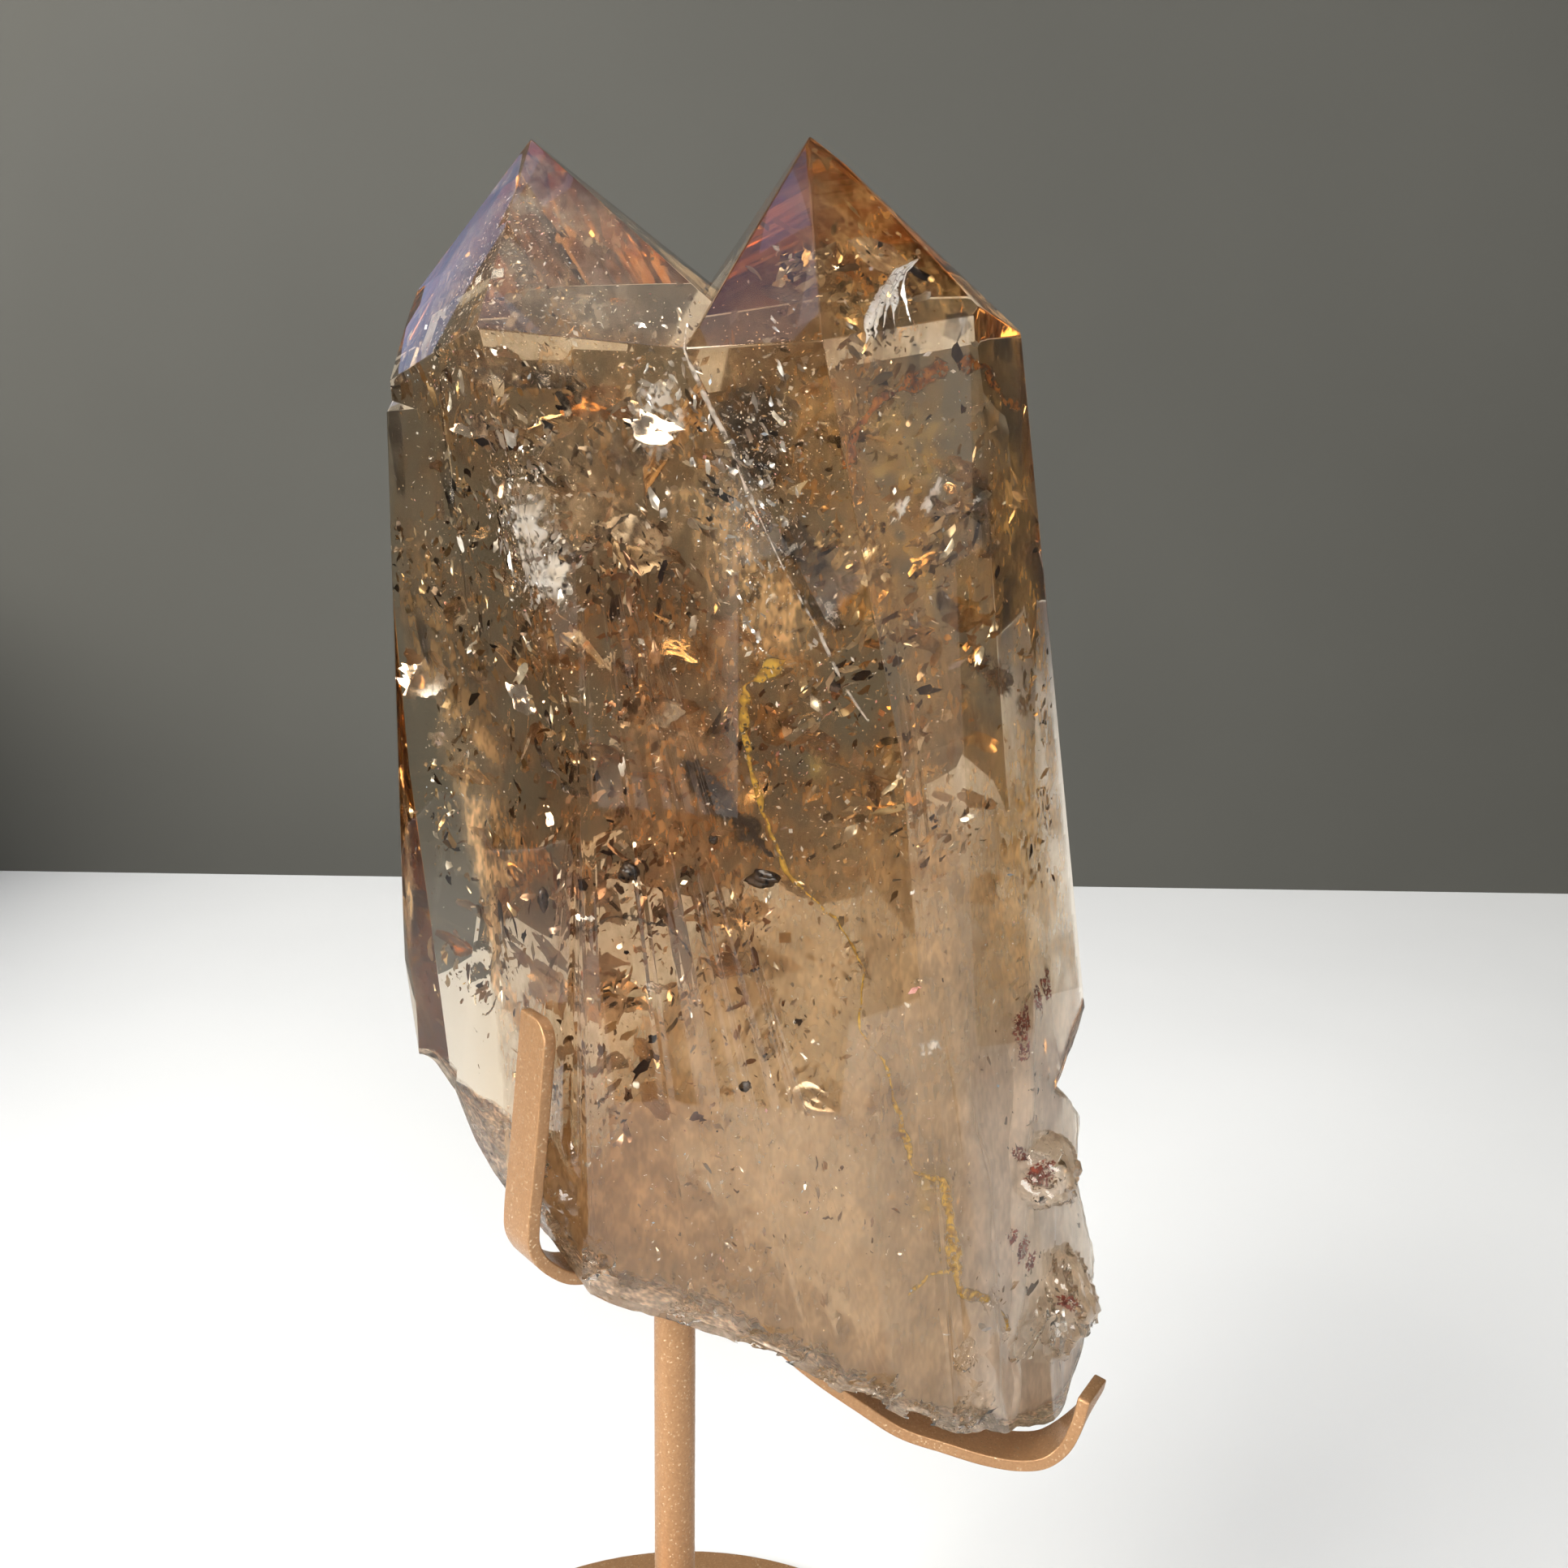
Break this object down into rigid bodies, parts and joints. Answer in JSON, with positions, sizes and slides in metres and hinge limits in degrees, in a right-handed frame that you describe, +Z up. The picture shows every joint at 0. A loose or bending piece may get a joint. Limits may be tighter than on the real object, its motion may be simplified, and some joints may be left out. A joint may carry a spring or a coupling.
{
  "type": "display crystal on a stand",
  "caption": "Twin smoky citrine points grown side by side, with rough broken base and inclusions, held by flat curled prongs on a slim rod over a round disc foot.",
  "frame": {"origin": "centre of the disc foot's underside, on the axis of the upright rod", "axes": "+Z up along the rod, +X to the right and +Y away from a viewer who faces the broad front of the stone"},
  "size_m": [0.1495, 0.132, 0.3228],
  "materials": {
    "smoky_citrine": "polished faces, clear with smoky brown and milky zones, natural rough break at the base",
    "copper_coat": "satin copper powder coat with a fine sparkle"
  },
  "bodies": {
    "root": {"crystal": "smoky_citrine", "base_disc": "copper_coat", "stem": "copper_coat", "cradle_arm_left": "copper_coat", "cradle_arm_right": "copper_coat", "cradle_arm_rear": "copper_coat"}
  },
  "joints": []
}
